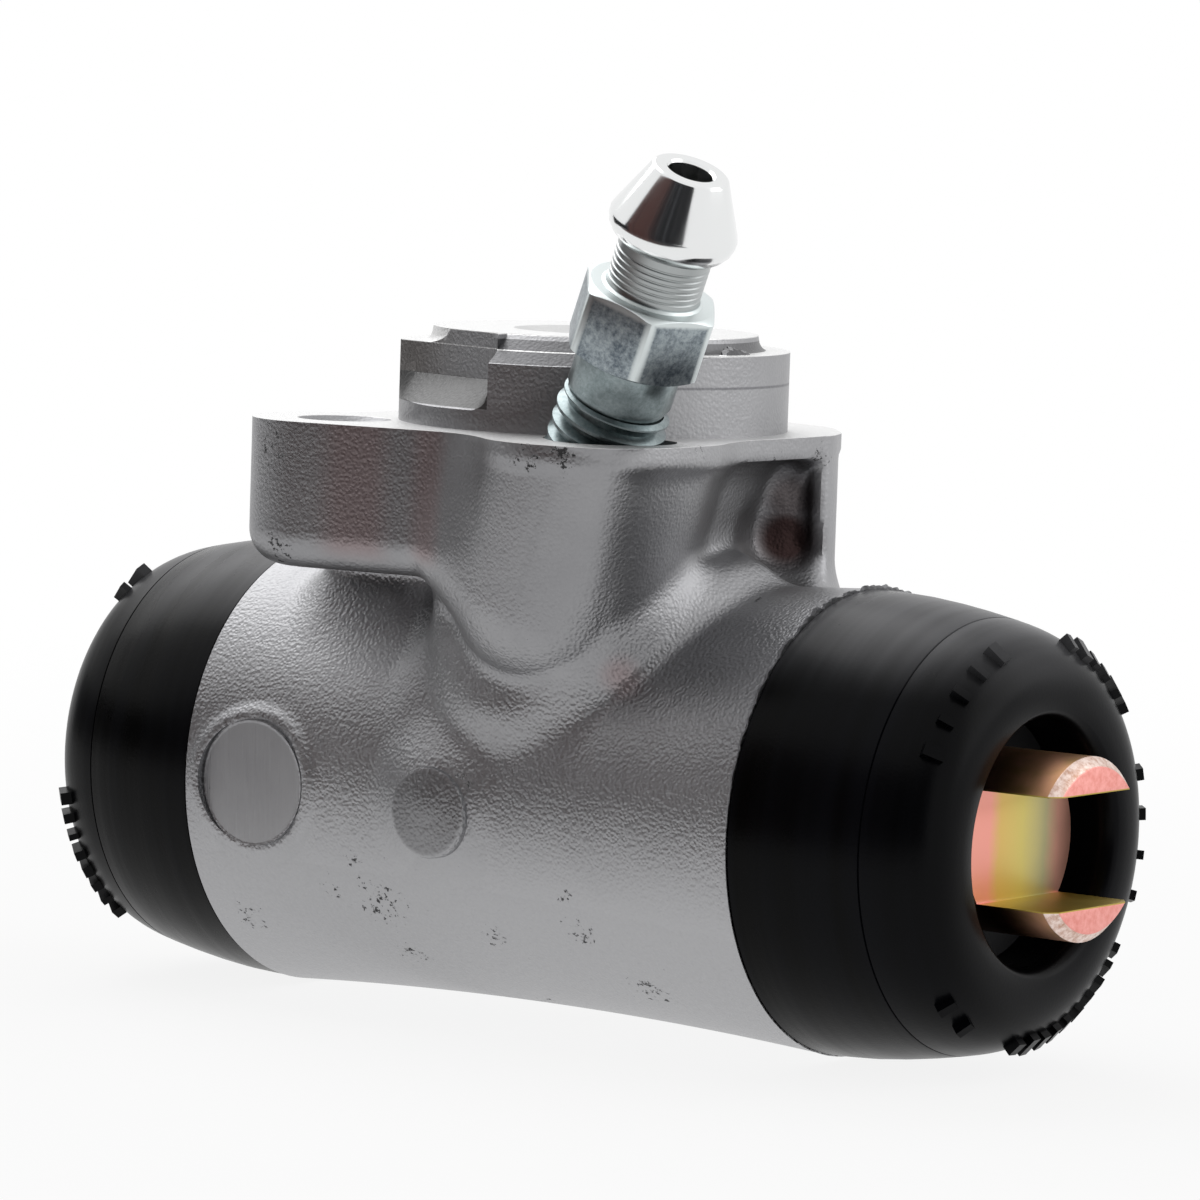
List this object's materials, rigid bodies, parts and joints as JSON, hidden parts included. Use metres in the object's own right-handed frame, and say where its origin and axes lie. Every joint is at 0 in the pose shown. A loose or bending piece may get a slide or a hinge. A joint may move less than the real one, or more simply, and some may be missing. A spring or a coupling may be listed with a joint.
{
  "type": "wheel cylinder",
  "caption": "Hydraulic drum brake wheel cylinder: cast body with a pilot boss, opposed pistons under rubber boots and a leaning bleeder screw.",
  "frame": {"origin": "centre of the pilot boss on the mounting face", "axes": "+Z out of the mounting face along the pilot boss, +X along the bore, towards the end that the bleeder leans to"},
  "size_m": [0.0744, 0.035, 0.054],
  "materials": {
    "cast_aluminium": "blasted casting",
    "zinc_plated_steel": "bright zinc",
    "boot_rubber": "satin",
    "chromated_steel": "yellow chromate",
    "cup_rubber": "satin",
    "spring_steel": "drawn wire"
  },
  "bodies": {
    "cylinder": {"body": "cast_aluminium", "boot_left": "boot_rubber", "boot_right": "boot_rubber", "return_spring": "spring_steel"},
    "left_piston": {"piston_left": "chromated_steel", "piston_cup_left": "cup_rubber"},
    "right_piston": {"piston_right": "chromated_steel", "piston_cup_right": "cup_rubber"},
    "bleeder": {"bleeder_screw": "zinc_plated_steel"}
  },
  "joints": [
    {"name": "left_piston_slide", "type": "slide", "parent": "cylinder", "child": "left_piston", "axis": [-1, 0, 0], "range_m": [-0.003, 0.005], "deforming": ["boot_left", "return_spring"]},
    {"name": "right_piston_slide", "type": "slide", "parent": "cylinder", "child": "right_piston", "axis": [1, 0, 0], "range_m": [-0.003, 0.005], "deforming": ["boot_right", "return_spring"]},
    {"name": "bleeder_turn", "type": "hinge", "parent": "cylinder", "child": "bleeder", "pos_m": [0.0087, -0.0112, 0], "axis": [0.4054, -0.1193, 0.9063], "range_deg": [0, 360]}
  ]
}
